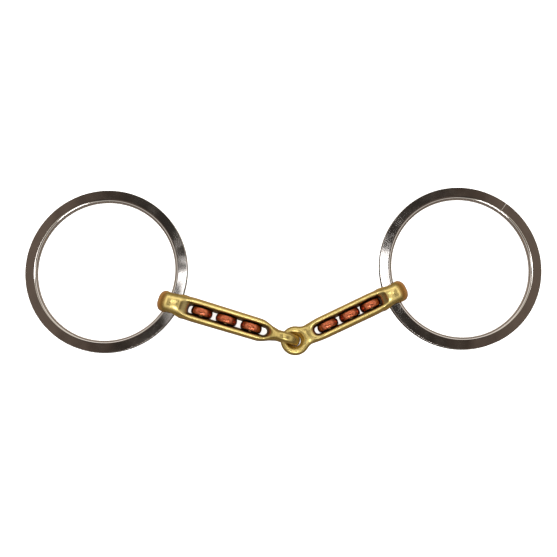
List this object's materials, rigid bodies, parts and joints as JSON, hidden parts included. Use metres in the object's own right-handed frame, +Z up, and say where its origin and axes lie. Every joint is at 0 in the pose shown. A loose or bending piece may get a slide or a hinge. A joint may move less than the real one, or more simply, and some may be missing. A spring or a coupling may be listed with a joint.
{
  "type": "snaffle bit",
  "caption": "Loose-ring snaffle bit with a single joint: slotted brass cannons with copper rollers on cross pins, linked by eyes, and flat-section steel rings that swing in the butts.",
  "frame": {"origin": "middle of the footprint, on the surface the bit lies on", "axes": "+X from the left ring to the right ring, +Z up out of the surface"},
  "size_m": [0.2978, 0.0974, 0.0178],
  "materials": {
    "brass_cannon": "cast gold-coloured brass alloy, tumbled and polished, browner where the surface turns steep",
    "copper_roller": "turned copper, satin, darker on the side faces",
    "brass_pin": "drawn brass, cut flush",
    "ring_steel": "polished stainless steel with fine handling scratches"
  },
  "bodies": {
    "left_cannon": {"left_cannon": "brass_cannon", "left_roller_pin_1": "brass_pin", "left_roller_pin_2": "brass_pin", "left_roller_pin_3": "brass_pin"},
    "right_cannon": {"right_cannon": "brass_cannon", "right_roller_pin_1": "brass_pin", "right_roller_pin_2": "brass_pin", "right_roller_pin_3": "brass_pin"},
    "left_ring": {"left_ring": "ring_steel"},
    "right_ring": {"right_ring": "ring_steel"},
    "left_roller_1": {"left_roller_1": "copper_roller"},
    "left_roller_2": {"left_roller_2": "copper_roller"},
    "left_roller_3": {"left_roller_3": "copper_roller"},
    "right_roller_1": {"right_roller_1": "copper_roller"},
    "right_roller_2": {"right_roller_2": "copper_roller"},
    "right_roller_3": {"right_roller_3": "copper_roller"}
  },
  "joints": [
    {"name": "mouthpiece_fold", "type": "hinge", "parent": "left_cannon", "child": "right_cannon", "pos_m": [0.00669, -0.04043, 0.0089], "axis": [0, 0, 1], "range_deg": [-165, 80]},
    {"name": "left_ring_swing", "type": "hinge", "parent": "left_cannon", "child": "left_ring", "pos_m": [-0.06306, -0.01924, 0.0089], "axis": [0.2907, 0.9568, 0], "range_deg": [-150, 160]},
    {"name": "right_ring_swing", "type": "hinge", "parent": "right_cannon", "child": "right_ring", "pos_m": [0.06171, -0.01431, 0.0089], "axis": [-0.4289, 0.9033, 0], "range_deg": [-160, 150]},
    {"name": "left_roller_1_spin", "type": "hinge", "parent": "left_cannon", "child": "left_roller_1", "pos_m": [-0.04651, -0.02427, 0.0089], "axis": [0.2907, 0.9568, 0], "continuous": true},
    {"name": "left_roller_2_spin", "type": "hinge", "parent": "left_cannon", "child": "left_roller_2", "pos_m": [-0.03254, -0.02851, 0.0089], "axis": [0.2907, 0.9568, 0], "continuous": true},
    {"name": "left_roller_3_spin", "type": "hinge", "parent": "left_cannon", "child": "left_roller_3", "pos_m": [-0.01847, -0.03279, 0.0089], "axis": [0.2907, 0.9568, 0], "continuous": true},
    {"name": "right_roller_1_spin", "type": "hinge", "parent": "right_cannon", "child": "right_roller_1", "pos_m": [0.04951, -0.0201, 0.0089], "axis": [-0.4289, 0.9033, 0], "continuous": true},
    {"name": "right_roller_2_spin", "type": "hinge", "parent": "right_cannon", "child": "right_roller_2", "pos_m": [0.03768, -0.02572, 0.0089], "axis": [-0.4289, 0.9033, 0], "continuous": true},
    {"name": "right_roller_3_spin", "type": "hinge", "parent": "right_cannon", "child": "right_roller_3", "pos_m": [0.0253, -0.03159, 0.0089], "axis": [-0.4289, 0.9033, 0], "continuous": true}
  ]
}
